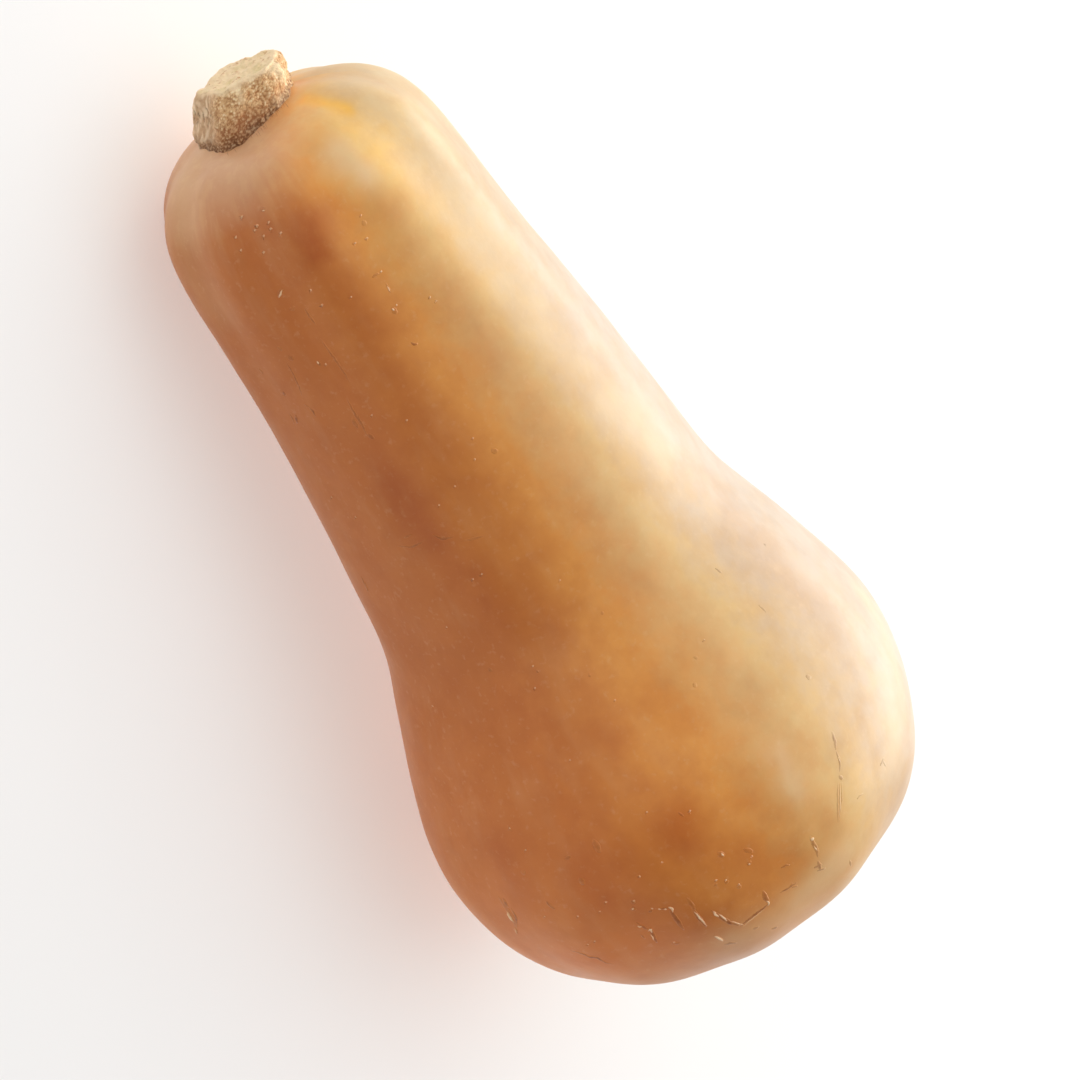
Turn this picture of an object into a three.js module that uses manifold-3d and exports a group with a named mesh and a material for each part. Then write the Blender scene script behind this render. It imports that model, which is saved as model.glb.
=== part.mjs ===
// A whole butternut squash lying on its side: one grown fruit, and the dry corky stump of its stem.
// Millimetres, +Z up. The blossom end points along +X, the stem along -X, and the fruit rests on z = 0.

import * as THREE from "three";
import { mergeVertices } from "three/addons/utils/BufferGeometryUtils.js";
import Module from "manifold-3d";

// The fruit's half outline runs smoothly through these places on its skin:
// distance from the stem end along the fruit's own axis, and radius.
const fruitOutline = [
  [0.5, 0], // stem end, on the axis
  [3.5, 18], // flat crown under the stem
  [16, 32.5], // shoulder
  [40, 36.5], // top of the neck
  [60, 37.7],
  [80, 39.8],
  [100, 41.8],
  [120, 43.8], // foot of the neck
  [135, 46.2],
  [150, 51.5], // flare into the bulb
  [168, 57.5],
  [192, 61.3], // widest place of the bulb
  [222, 50.5],
  [238, 24], // blossom end
  [243, 0], // blossom end, on the axis
];
const neckBowUp = 1.6; // the neck is a little arched, and
const neckBowSide = 1.6; // a little bent to one side
const neckBowLength = 190;

// Shallow ribs run from end to end. They are plain at the shoulder and on the blossom half of the bulb.
const ribCount = 10;
const ribUnevenness = 0.22; // radians by which the ribs stray from even spacing
const shoulderRibHeight = 0.5;
const shoulderRibAt = 16;
const shoulderRibReach = 34;
const neckRibHeight = 0.16;
const bulbRibHeight = 0.32;
const bulbRibStart = 150;
const bulbRibFull = 222;
const ribFadeRadius = 17; // the ribs die out towards both ends of the axis
const crownEnd = 40; // distance along the axis over which the crown round the stem ends

// The scar of the flower: a shallow dimple round a low button.
const dimpleDepth = 1.6;
const dimpleRadius = 10;
const buttonHeight = 1.1;
const buttonRadius = 4.2;

// How the fruit lies: the axis drops towards the thin neck, and each place it rests on is worn flat.
const restTilt = 9.3; // degrees
const restFlatDepth = 1.1;

// The stem stump: a flared, five-cornered cork foot, narrowing to a slanted knife cut.
// Height is measured outwards from the fruit's stem end.
const stemOutline = [
  [-5, 0],
  [-5, 8.6],
  [-4.2, 11],
  [-3.3, 12.3],
  [-2.3, 12.9], // widest, where it grips the skin
  [-1, 12.8],
  [0.4, 12.5],
  [2, 12],
  [4, 11.5],
  [6.2, 10.9],
  [9, 10.4],
  [12, 10.1],
  [15, 10],
  [15, 0],
];
const stemCorners = 5;
const stemCornerDepth = 0.075; // share of the radius, near the cut
const stemFootCornerDepth = 0.03; // the foot is rounder
const stemCornerAt = 93; // degrees round the fruit's axis from +Y towards +Z
const stemLeanUp = 0.275; // sideways shift for each millimetre of height
const stemLeanSide = 0.24;
const stemFootSide = -0.6; // how far the foot's middle is off the fruit's axis
const stemFootUp = -0.5;
const stemFootDrop = 2.1; // on one side the foot and the crown under it reach this much lower,
const stemFootDropAt = 166; // at this angle,
const stemFootDropReach = 50; // and this many degrees to either side
const stemCutHeight = 6.9; // of the middle of the cut
const stemCutFallUp = 2.5; // degrees that the cut falls towards the top side
const stemCutFallSide = 4; // and towards the far side
const seatGap = 0.3; // clearance all round between the stem's root and the fruit

const fruitSectors = 64;
const fruitRowsPerSpan = 4;
const stemSectors = 45;

const wasm = await Module();
wasm.setup();

function smoothStep(low, high, value) {
  return THREE.MathUtils.smoothstep(value, low, high);
}

const acrossAxis = ([along, radius]) => [along, -radius];

// The control points of the cubic B-spline that passes through the given places, found by
// correcting them in rounds. Each round halves what is still wrong.
function controlsThrough(places) {
  const rounds = 30;
  let controls = places;
  for (let round = 0; round < rounds; round++) {
    const last = controls;
    controls = places.map((place, k) => {
      const before = last[k - 1] ?? acrossAxis(last[1]);
      const after = last[k + 1] ?? acrossAxis(last.at(-2));
      return place.map((value, axis) => (6 * value - before[axis] - after[axis]) / 4);
    });
  }
  return controls;
}

// A uniform cubic B-spline from axis to axis. The mirrored end controls make it cross the axis squarely.
function splineOutline(controls, rowsPerSpan) {
  const all = [acrossAxis(controls[1]), ...controls, acrossAxis(controls.at(-2))];
  const rows = [];
  for (let span = 0; span + 3 < all.length; span++) {
    const lastRow = span + 4 === all.length ? rowsPerSpan : rowsPerSpan - 1;
    for (let row = 0; row <= lastRow; row++) {
      const t = row / rowsPerSpan;
      const weights = [
        (1 - t) ** 3 / 6,
        (3 * t ** 3 - 6 * t ** 2 + 4) / 6,
        (-3 * t ** 3 + 3 * t ** 2 + 3 * t + 1) / 6,
        t ** 3 / 6,
      ];
      const blend = (axis) =>
        weights.reduce((sum, weight, k) => sum + weight * all[span + k][axis], 0);
      rows.push(new THREE.Vector2(Math.max(blend(1), 0), blend(0)));
    }
  }
  rows[0].x = 0;
  rows.at(-1).x = 0;
  return rows;
}

// Turns an outline about its axis, and puts each point where placePoint says for its
// distance along the axis, its radius and its angle from +Y towards +Z.
function turnedShape(outline, sectors, placePoint) {
  const shape = new THREE.LatheGeometry(outline, sectors);
  const points = shape.getAttribute("position");
  for (let i = 0; i < points.count; i++) {
    const radius = Math.hypot(points.getX(i), points.getZ(i));
    const angle = Math.atan2(points.getX(i), points.getZ(i));
    points.setXYZ(i, ...placePoint(points.getY(i), radius, angle));
  }
  return shape;
}

function ribHeightAt(along, radius) {
  const shoulder =
    shoulderRibHeight * Math.exp(-(((along - shoulderRibAt) / shoulderRibReach) ** 2));
  const bulb = bulbRibHeight * smoothStep(bulbRibStart, bulbRibFull, along);
  return (neckRibHeight + shoulder + bulb) * smoothStep(0, ribFadeRadius, radius);
}

function footDropAt(angle) {
  const turn = angle - THREE.MathUtils.degToRad(stemFootDropAt);
  const nearest = Math.atan2(Math.sin(turn), Math.cos(turn));
  return stemFootDrop * Math.exp(-((nearest / THREE.MathUtils.degToRad(stemFootDropReach)) ** 2));
}

function fruitPoint(along, radius, angle) {
  const stray = ribUnevenness * (Math.sin(2 * angle + 1) + 0.6 * Math.sin(3 * angle + 2.2));
  const ribs = ribHeightAt(along, radius) * Math.cos(ribCount * angle + stray * 2);
  const bow =
    along < neckBowLength ? Math.sin((Math.PI * along) / neckBowLength) ** 2 : 0;
  const atBlossomEnd = smoothStep(neckBowLength, neckBowLength + 30, along);
  const scar =
    dimpleDepth * Math.exp(-((radius / dimpleRadius) ** 2)) -
    buttonHeight * Math.exp(-((radius / buttonRadius) ** 4));
  const underStem =
    along < crownEnd ? smoothStep(0, 9, radius) * (1 - smoothStep(14, 27, radius)) : 0;
  return [
    along - atBlossomEnd * scar + underStem * footDropAt(angle),
    (radius + ribs) * Math.cos(angle) + neckBowSide * bow,
    (radius + ribs) * Math.sin(angle) + neckBowUp * bow,
  ];
}

// The stem points along -X. Growing it by some clearance gives the seat that it stands in.
function stemShape(clearance) {
  const outline = stemOutline
    .map(([height, radius]) => {
      const grownRadius = radius > 0 ? radius + clearance : 0;
      const grownHeight = height === stemOutline[0][0] ? height - clearance : height;
      return new THREE.Vector2(grownRadius, -grownHeight);
    })
    .reverse();
  const cornerAngle = THREE.MathUtils.degToRad(stemCornerAt);
  return turnedShape(outline, stemSectors, (along, radius, angle) => {
    const plainHeight = -along;
    const aboveFoot = smoothStep(-3, 4, plainHeight);
    const depth = THREE.MathUtils.lerp(stemFootCornerDepth, stemCornerDepth, aboveFoot);
    const corner = 1 + depth * Math.cos(stemCorners * (angle - cornerAngle));
    const height = plainHeight - footDropAt(angle) * (1 - smoothStep(-2, 5, plainHeight));
    return [
      -height,
      radius * corner * Math.cos(angle) + stemFootSide + stemLeanSide * height,
      radius * corner * Math.sin(angle) + stemFootUp + stemLeanUp * height,
    ];
  });
}

function solidOf(geometry) {
  const plain = geometry.clone();
  plain.deleteAttribute("normal");
  plain.deleteAttribute("uv");
  const merged = mergeVertices(plain, 1e-4);
  const corners = merged.index.array;
  const triangles = [];
  for (let i = 0; i < corners.length; i += 3) {
    const [a, b, c] = corners.subarray(i, i + 3);
    if (a !== b && b !== c && c !== a) triangles.push(a, b, c);
  }
  return new wasm.Manifold(
    new wasm.Mesh({
      numProp: 3,
      vertProperties: merged.getAttribute("position").array,
      triVerts: new Uint32Array(triangles),
    }),
  );
}

function geometryOf(solid) {
  const mesh = solid.getMesh();
  return new THREE.BufferGeometry()
    .setAttribute("position", new THREE.BufferAttribute(mesh.vertProperties, 3))
    .setIndex(new THREE.BufferAttribute(mesh.triVerts, 1));
}

// Everything past a plane through the given point, as a large block to cut with.
function blockBeyond(point, turn) {
  const side = 120;
  const block = new THREE.BoxGeometry(side, side, side);
  block.translate(-side / 2, 0, 0);
  block.applyMatrix4(new THREE.Matrix4().makeRotationFromEuler(turn));
  block.translate(...point);
  return solidOf(block);
}

const cutTurn = new THREE.Euler(
  0,
  THREE.MathUtils.degToRad(stemCutFallUp),
  -THREE.MathUtils.degToRad(stemCutFallSide),
);
const cutMiddle = [
  -stemCutHeight,
  stemFootSide + stemLeanSide * stemCutHeight,
  stemFootUp + stemLeanUp * stemCutHeight,
];
const stemSolid = solidOf(stemShape(0)).subtract(blockBeyond(cutMiddle, cutTurn));

const fruitLathe = turnedShape(
  splineOutline(controlsThrough(fruitOutline), fruitRowsPerSpan),
  fruitSectors,
  fruitPoint,
);
const wholeFruit = solidOf(fruitLathe).subtract(solidOf(stemShape(seatGap)));

// Lays a solid down as the squash rests.
function laidDown(solid) {
  return geometryOf(solid).rotateY(-THREE.MathUtils.degToRad(restTilt));
}

const fruitGeometry = laidDown(wholeFruit);
fruitGeometry.computeBoundingBox();
const restHeight = fruitGeometry.boundingBox.min.z + restFlatDepth;
const floorSide = 600;
const floorBlock = new THREE.BoxGeometry(floorSide, floorSide, floorSide);
floorBlock.translate(0, 0, restHeight - floorSide / 2);
const fruitSolid = solidOf(fruitGeometry).subtract(solidOf(floorBlock));

const skin = new THREE.MeshStandardMaterial({
  color: new THREE.Color(0.86, 0.62, 0.38),
  roughness: 0.45,
  metalness: 0,
});
const cork = new THREE.MeshStandardMaterial({
  color: new THREE.Color(0.7, 0.56, 0.4),
  roughness: 0.9,
  metalness: 0,
});

const fruit = new THREE.Mesh(geometryOf(fruitSolid), skin);
fruit.name = "squash_body";
const stem = new THREE.Mesh(laidDown(stemSolid), cork);
stem.name = "squash_stem";

const squash = new THREE.Group();
squash.add(fruit, stem);
const box = new THREE.Box3().setFromObject(squash);
const middle = box.getCenter(new THREE.Vector3());
squash.position.set(-middle.x, -middle.y, -box.min.z);

export default squash;
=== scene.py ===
"""A butternut squash lying on a pale surface, in soft daylight from behind."""

import math
import random

import bpy
import numpy as np
from mathutils import Matrix, Vector, noise
from mathutils.bvhtree import BVHTree


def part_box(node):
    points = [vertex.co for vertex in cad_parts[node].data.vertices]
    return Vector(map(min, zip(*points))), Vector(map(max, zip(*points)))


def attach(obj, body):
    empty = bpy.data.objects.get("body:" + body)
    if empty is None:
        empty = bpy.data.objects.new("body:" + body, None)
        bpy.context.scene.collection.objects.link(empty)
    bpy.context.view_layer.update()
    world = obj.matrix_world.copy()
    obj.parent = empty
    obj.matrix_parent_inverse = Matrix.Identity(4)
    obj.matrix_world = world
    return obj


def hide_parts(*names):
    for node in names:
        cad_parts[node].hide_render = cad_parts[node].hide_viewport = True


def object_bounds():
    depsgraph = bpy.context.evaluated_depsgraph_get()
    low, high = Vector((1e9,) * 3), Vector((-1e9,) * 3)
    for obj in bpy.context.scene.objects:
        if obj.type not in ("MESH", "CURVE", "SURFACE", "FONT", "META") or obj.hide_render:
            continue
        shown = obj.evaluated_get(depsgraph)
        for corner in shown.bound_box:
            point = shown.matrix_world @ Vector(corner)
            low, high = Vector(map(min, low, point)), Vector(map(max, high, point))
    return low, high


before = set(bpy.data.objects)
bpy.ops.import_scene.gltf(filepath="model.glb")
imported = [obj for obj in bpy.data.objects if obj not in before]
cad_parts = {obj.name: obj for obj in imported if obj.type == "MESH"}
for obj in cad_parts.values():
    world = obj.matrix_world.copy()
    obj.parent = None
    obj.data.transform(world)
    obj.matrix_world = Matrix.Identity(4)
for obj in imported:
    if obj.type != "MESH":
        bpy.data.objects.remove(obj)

cad_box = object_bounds()


# The camera stands over a metre away, in front of the squash, above it and towards its stem.
# The picture is turned on its side: up in the room is to the right in it.
millimetre = 0.001
camera_distance = 1.2
camera_azimuth = math.radians(-35.32)
camera_elevation = math.radians(37.0)
camera_roll = math.radians(87.4)
picture_side = 1080
focal_pixels = 5118
aim_right = -2.44 * millimetre
aim_up = -8.27 * millimetre

camera_back = Vector((
    math.sin(camera_azimuth) * math.cos(camera_elevation),
    -math.cos(camera_azimuth) * math.cos(camera_elevation),
    math.sin(camera_elevation),
))
level_right = Vector((math.cos(camera_azimuth), math.sin(camera_azimuth), 0))
level_up = camera_back.cross(level_right)
camera_right = math.cos(camera_roll) * level_right + math.sin(camera_roll) * level_up
camera_up = camera_back.cross(camera_right)
squash_middle = (cad_box[0] + cad_box[1]) / 2
camera_place = (
    squash_middle + aim_right * camera_right + aim_up * camera_up + camera_distance * camera_back
)

camera_data = bpy.data.cameras.new("camera")
camera_data.sensor_width = 36
camera_data.lens = focal_pixels / picture_side * camera_data.sensor_width
camera_data.clip_start = 0.05
camera = bpy.data.objects.new("camera", camera_data)
bpy.context.scene.collection.objects.link(camera)
camera_turn = Matrix((camera_right, camera_up, camera_back)).transposed()
camera.matrix_world = Matrix.Translation(camera_place) @ camera_turn.to_4x4()
bpy.context.scene.camera = camera


# The fruit: a thick neck that swells into a round bulb, grown as one piece, with a smooth waxy rind.
# Shallow ribs run from the stem to the scar of the flower. It is worn flat where it lies.
fruit_outline = [
    (0.5, 0),
    (3.5, 18),
    (16, 32.5),
    (40, 36.5),
    (60, 37.7),
    (80, 39.8),
    (100, 41.8),
    (120, 43.8),
    (135, 46.2),
    (150, 51.5),
    (168, 57.5),
    (192, 61.3),
    (222, 50.5),
    (238, 24),
    (243, 0),
]
neck_bow_up = 1.6
neck_bow_side = 1.6
neck_bow_length = 190
rib_count = 10
rib_unevenness = 0.22
shoulder_rib_height = 0.5
shoulder_rib_at = 16
shoulder_rib_reach = 34
neck_rib_height = 0.16
bulb_rib_height = 0.32
bulb_rib_start = 150
bulb_rib_full = 222
rib_fade_radius = 17
crown_end = 40
foot_drop = 2.1
foot_drop_at = math.radians(166)
foot_drop_reach = math.radians(50)
dimple_depth = 1.6
dimple_radius = 10
button_height = 1.1
button_radius = 4.2
rest_tilt = math.radians(9.3)
rest_flat_depth = 1.1
lump_height = 0.28
lump_size = 26
outline_rounds = 30
fruit_rows = 262
fruit_sectors = 360


def smooth_step(low, high, value):
    share = np.clip((value - low) / (high - low), 0, 1)
    return share * share * (3 - 2 * share)


def with_mirrored_ends(places):
    """The places, with those next to both ends added again on the other side of the axis."""
    mirror = np.array([1, -1])
    return np.vstack([places[1] * mirror, places, places[-2] * mirror])


def spline_outline(places, rows):
    """Evenly spaced points (distance along the axis, radius) on a smooth curve through the places.

    The curve's control points are corrected in rounds, and each round halves what is still wrong.
    """
    places = np.array(places, float)
    controls = places
    for _ in range(outline_rounds):
        around = with_mirrored_ends(controls)
        controls = (6 * places - around[:-2] - around[2:]) / 4
    points = with_mirrored_ends(controls)
    t = np.linspace(0, 1, 60, endpoint=False)[:, None]
    weights = (
        (1 - t) ** 3 / 6,
        (3 * t**3 - 6 * t**2 + 4) / 6,
        (-3 * t**3 + 3 * t**2 + 3 * t + 1) / 6,
        t**3 / 6,
    )
    spans = [
        sum(weight * points[span + k] for k, weight in enumerate(weights))
        for span in range(len(points) - 3)
    ]
    end = (points[-3] + 4 * points[-2] + points[-1])[None] / 6
    dense = np.vstack(spans + [end])
    steps = np.hypot(*np.diff(dense, axis=0).T)
    travelled = np.concatenate([[0], np.cumsum(steps)])
    even = np.linspace(0, travelled[-1], rows)
    return np.stack([np.interp(even, travelled, dense[:, axis]) for axis in (0, 1)], 1)


def rib_height(along, radius):
    shoulder = shoulder_rib_height * np.exp(-(((along - shoulder_rib_at) / shoulder_rib_reach) ** 2))
    bulb = bulb_rib_height * smooth_step(bulb_rib_start, bulb_rib_full, along)
    return (neck_rib_height + shoulder + bulb) * smooth_step(0, rib_fade_radius, radius)


def rib_wave(angle):
    stray = rib_unevenness * (np.sin(2 * angle + 1) + 0.6 * np.sin(3 * angle + 2.2))
    return np.cos(rib_count * angle + stray * 2)


def foot_drop_around(angle):
    """How much lower the crown and the foot of the stem on it are at an angle."""
    nearest = (angle - foot_drop_at + np.pi) % (2 * np.pi) - np.pi
    return foot_drop * np.exp(-((nearest / foot_drop_reach) ** 2))


def fruit_place(along, radius, angle):
    """Where a point of the fruit is, in millimetres from its stem end, before it is laid down."""
    swollen = radius + rib_height(along, radius) * rib_wave(angle)
    bow = np.where(along < neck_bow_length, np.sin(np.pi * along / neck_bow_length) ** 2, 0)
    at_blossom_end = smooth_step(neck_bow_length, neck_bow_length + 30, along)
    scar = dimple_depth * np.exp(-((radius / dimple_radius) ** 2))
    scar = scar - button_height * np.exp(-((radius / button_radius) ** 4))
    under_stem = smooth_step(0, 9, radius) * (1 - smooth_step(14, 27, radius)) * (along < crown_end)
    return np.stack([
        along - at_blossom_end * scar + under_stem * foot_drop_around(angle),
        swollen * np.cos(angle) + neck_bow_side * bow,
        swollen * np.sin(angle) + neck_bow_up * bow,
    ], -1)


def noise_at(points, size, seed):
    """Smooth noise between about -1 and 1 at each point, with lumps of about that size."""
    shift = Vector((seed * 7.3, seed * 3.1, seed * 5.7))
    return np.array([noise.noise(Vector(point) / size + shift) for point in points])


def laid_down(points):
    """Turns points so that the fruit's axis drops towards the stem, as it lies."""
    cosine, sine = math.cos(rest_tilt), math.sin(rest_tilt)
    x, y, z = np.moveaxis(points, -1, 0)
    return np.stack([x * cosine - z * sine, y, x * sine + z * cosine], -1)


def grid_faces(rows, sectors):
    """Faces of a closed skin: a first pole, rings of points, and a last pole."""
    ring = np.arange(sectors)
    after = (ring + 1) % sectors
    starts = 1 + np.arange(rows - 1)[:, None] * sectors
    quads = np.stack([starts + ring, starts + after, starts + sectors + after, starts + sectors + ring], -1)
    last_pole = 1 + rows * sectors
    faces = [(0, 1 + b, 1 + a) for a, b in zip(ring, after)]
    faces += quads.reshape(-1, 4).tolist()
    faces += [(last_pole, last_pole - sectors + a, last_pole - sectors + b) for a, b in zip(ring, after)]
    return faces


def new_piece(name, points, faces, material, attributes):
    """A smooth mesh object with named point attributes: one number or three for each point."""
    mesh = bpy.data.meshes.new(name)
    mesh.from_pydata(np.asarray(points).tolist(), [], faces)
    mesh.polygons.foreach_set("use_smooth", [True] * len(mesh.polygons))
    for label, values in attributes.items():
        values = np.asarray(values, np.float32)
        kind, key = ("FLOAT_VECTOR", "vector") if values.ndim == 2 else ("FLOAT", "value")
        mesh.attributes.new(label, kind, "POINT").data.foreach_set(key, values.ravel())
    mesh.materials.append(material)
    mesh.update()
    piece = bpy.data.objects.new(name, mesh)
    bpy.context.scene.collection.objects.link(piece)
    return piece


outline = spline_outline(fruit_outline, fruit_rows)
angles = np.linspace(0, 2 * np.pi, fruit_sectors, endpoint=False)
ring_along = np.repeat(outline[1:-1, 0], fruit_sectors)
ring_radius = np.repeat(outline[1:-1, 1], fruit_sectors)
ring_angle = np.tile(angles, fruit_rows - 2)
skin_along = np.concatenate([outline[:1, 0], ring_along, outline[-1:, 0]])
skin_radius = np.concatenate([[0], ring_radius, [0]])
skin_angle = np.concatenate([[0], ring_angle, [0]])
skin_local = fruit_place(skin_along, skin_radius, skin_angle)
outward = np.stack([np.zeros_like(skin_angle), np.cos(skin_angle), np.sin(skin_angle)], -1)
lumps = noise_at(skin_local, lump_size, 1) + 0.4 * noise_at(skin_local, lump_size / 2.5, 2)
lumps *= lump_height * smooth_step(0, 25, skin_radius)
skin_points = laid_down(skin_local + outward * lumps[:, None])
plain_lay = laid_down(skin_local)

body_low, body_high = (np.array(corner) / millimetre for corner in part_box("squash_body"))
lay_shift = np.array([
    body_high[0] - plain_lay[:, 0].max(),
    (body_low[1] + body_high[1]) / 2 - (plain_lay[:, 1].min() + plain_lay[:, 1].max()) / 2,
    -rest_flat_depth - plain_lay[:, 2].min(),
])
skin_points = skin_points + lay_shift
skin_points[:, 2] = np.maximum(skin_points[:, 2], 0)
skin_faces = grid_faces(fruit_rows - 2, fruit_sectors)
skin_tree = BVHTree.FromPolygons((skin_points * millimetre).tolist(), skin_faces)


def on_skin(x, y):
    """The point of the fruit that shows at a pixel of the photograph, and its outward normal."""
    ray = Vector(
        float(x - picture_side / 2) * camera_right
        + float(picture_side / 2 - y) * camera_up
        - focal_pixels * camera_back
    ).normalized()
    place, normal, _, _ = skin_tree.ray_cast(camera_place, ray)
    if place is None:
        raise ValueError(f"pixel {x}, {y} is not on the fruit")
    return place / millimetre, normal


# Patches of colour on the rind: the two pixels of the photograph that a patch runs between,
# its half width in millimetres, and how strong it is. Ripe ones are darker than the rind round them.
ripe_patches = [
    ((313, 228), (313, 250), 6.5, 1.0),
    ((328, 270), (375, 325), 6, 0.5),
    ((345, 310), (440, 440), 5, 0.3),
    ((440, 440), (540, 550), 6, 0.28),
    ((388, 480), (430, 542), 5, 0.5),
    ((480, 570), (525, 630), 6, 0.35),
    ((530, 580), (550, 640), 5, 0.4),
    ((530, 670), (605, 830), 3, 0.25),
    ((450, 300), (500, 360), 7, 0.3),
    ((540, 420), (640, 590), 9, 0.2),
    ((662, 690), (678, 722), 4.5, 0.3),
    ((750, 684), (765, 690), 4, 0.25),
    ((600, 735), (615, 750), 5, 0.3),
    ((680, 818), (688, 838), 6.5, 0.85),
    ((735, 850), (785, 865), 8, 0.5),
    ((745, 790), (775, 815), 6, 0.35),
    ((625, 855), (640, 870), 5, 0.4),
    ((640, 905), (700, 925), 6, 0.35),
    ((580, 870), (600, 900), 6, 0.4),
    ((500, 850), (520, 890), 6, 0.3),
    ((826, 815), (834, 832), 3.5, 0.35),
    ((315, 78), (385, 84), 4, 0.3),
    ((372, 204), (392, 210), 4.5, 0.45),
    ((250, 190), (290, 260), 5, 0.3),
    ((455, 680), (480, 720), 5, 0.2),
    ((735, 525), (810, 590), 8, 0.25),
    ((415, 95), (450, 135), 6, 0.25),
    ((862, 712), (876, 760), 3, 0.2),
    ((838, 745), (842, 800), 2, 0.2),
]
golden_patches = [
    ((303, 100), (348, 110), 2.6, 0.95),
]
# Pale patches: mostly painted highlights and sheen, and by the stem a paler shoulder with painted
# reflection.
pale_and_sheen_patches = [
    ((338, 150), (360, 172), 3.8, 0.6),
    ((735, 938), (790, 912), 6, 0.22),
    ((440, 180), (600, 400), 6, 0.25),
    ((610, 405), (660, 450), 6, 0.4),
    ((868, 600), (893, 760), 6, 0.35),
    ((838, 860), (800, 902), 6, 0.35),
    ((776, 752), (796, 790), 3, 0.35),
    ((190, 165), (186, 225), 9, 0.3),
    ((183, 235), (210, 300), 8, 0.14),
    ((215, 165), (240, 180), 8, 0.2),
]


def patch_mask(patches, points):
    """How strongly the patches cover each point, from 0 to 1."""
    ragged = points + 1.6 * noise_at(points, 9, 11)[:, None] + 0.8 * noise_at(points, 3.5, 12)[:, None]
    mask = np.zeros(len(points))
    for first, last, half_width, strength in patches:
        start = np.array(on_skin(*first)[0])
        run = np.array(on_skin(*last)[0]) - start
        share = np.clip(((ragged - start) @ run) / max(run @ run, 1e-6), 0, 1)
        gap = np.linalg.norm(ragged - start - share[:, None] * run, axis=1)
        mask = np.maximum(mask, strength * np.exp(-((gap / half_width) ** 2)))
    return mask


# The side of the rind that faces the window is paler and creamier: partly its own paler side, partly painted
# light.
lit_side_angle = math.radians(50)
hidden_evenness = 0.45
grain_stretch = 1.9


def rind_fields(points):
    """What the rind's colour depends on at each point: its place on the fruit, and its patches."""
    x, y, z = (points - lay_shift).T
    cosine, sine = math.cos(rest_tilt), math.sin(rest_tilt)
    along = x * cosine + z * sine
    bow = np.where(along < neck_bow_length, np.sin(np.pi * along / neck_bow_length) ** 2, 0)
    side, up = y - neck_bow_side * bow, z * cosine - x * sine - neck_bow_up * bow
    angle, radius = np.arctan2(up, side), np.hypot(side, up)
    share = along / fruit_outline[-1][0]
    off_axis = smooth_step(0, 30, radius)
    turned = (angle - lit_side_angle) % (2 * np.pi)
    hidden = smooth_step(math.radians(185), math.radians(240), turned)
    pale_side = 0.5 + 0.5 * np.cos(turned) * off_axis
    scar_edge = radius + 0.7 * noise_at(points, 2.2, 13)
    return {
        "grain": np.stack([np.cos(angle) * off_axis, np.sin(angle) * off_axis, share * grain_stretch], -1),
        "pale_side": 1 - (1 - pale_side) * (1 - hidden_evenness * hidden),
        "scar": (share > 0.8) * (1 - smooth_step(3.4, 5.4, scar_edge)),
        "along": share,
        "ripe": patch_mask(ripe_patches, points),
        "pale": patch_mask(pale_and_sheen_patches, points),
        "golden": patch_mask(golden_patches, points),
    }


def add_node(tree, kind, **settings):
    """A shader node. A setting named like an input, with _ for a space, sets it or links to it."""
    node = tree.nodes.new(kind)
    sockets = {socket.name.replace(" ", "_"): socket for socket in reversed(node.inputs)}
    for name, value in settings.items():
        if name not in sockets:
            setattr(node, name, value)
        elif isinstance(value, bpy.types.NodeSocket):
            tree.links.new(value, sockets[name])
        else:
            sockets[name].default_value = value
    return node


def attribute(tree, name, output="Fac"):
    return add_node(tree, "ShaderNodeAttribute", attribute_name=name).outputs[output]


def colour_mix(tree, factor, under, over, blend_type="MIX"):
    """Lays one colour over another. Colours are sockets or (red, green, blue)."""
    node = tree.nodes.new("ShaderNodeMix")
    node.data_type = "RGBA"
    node.blend_type = blend_type
    for socket, value in ((node.inputs[0], factor), (node.inputs[6], under), (node.inputs[7], over)):
        if isinstance(value, bpy.types.NodeSocket):
            tree.links.new(value, socket)
        elif isinstance(value, tuple):
            socket.default_value = (*value, 1)
        else:
            socket.default_value = value
    return node.outputs[2]


def calculate(tree, operation, *values):
    node = tree.nodes.new("ShaderNodeMath")
    node.operation = operation
    for socket, value in zip(node.inputs, values):
        if isinstance(value, bpy.types.NodeSocket):
            tree.links.new(value, socket)
        else:
            socket.default_value = value
    return node.outputs[0]


def product(tree, first, second):
    return calculate(tree, "MULTIPLY", first, second)


def map_range(tree, value, from_low, from_high, to_low=0.0, to_high=1.0):
    node = add_node(
        tree,
        "ShaderNodeMapRange",
        Value=value,
        From_Min=from_low,
        From_Max=from_high,
        To_Min=to_low,
        To_Max=to_high,
    )
    return node.outputs["Result"]


def linear(red, green, blue):
    """A screen colour from 0 to 255, as the linear light that a shader takes."""
    return tuple(
        value / 12.92 if value <= 0.04045 else ((value + 0.055) / 1.055) ** 2.4
        for value in (red / 255, green / 255, blue / 255)
    )


def colour_ramp(tree, factor, stops):
    ramp = add_node(tree, "ShaderNodeValToRGB", Fac=factor)
    elements = ramp.color_ramp.elements
    while len(elements) < len(stops):
        elements.new(0.5)
    for element, (place, colour) in zip(elements, stops):
        element.position = place
        element.color = (*colour, 1)
    return ramp.outputs["Color"]


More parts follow.
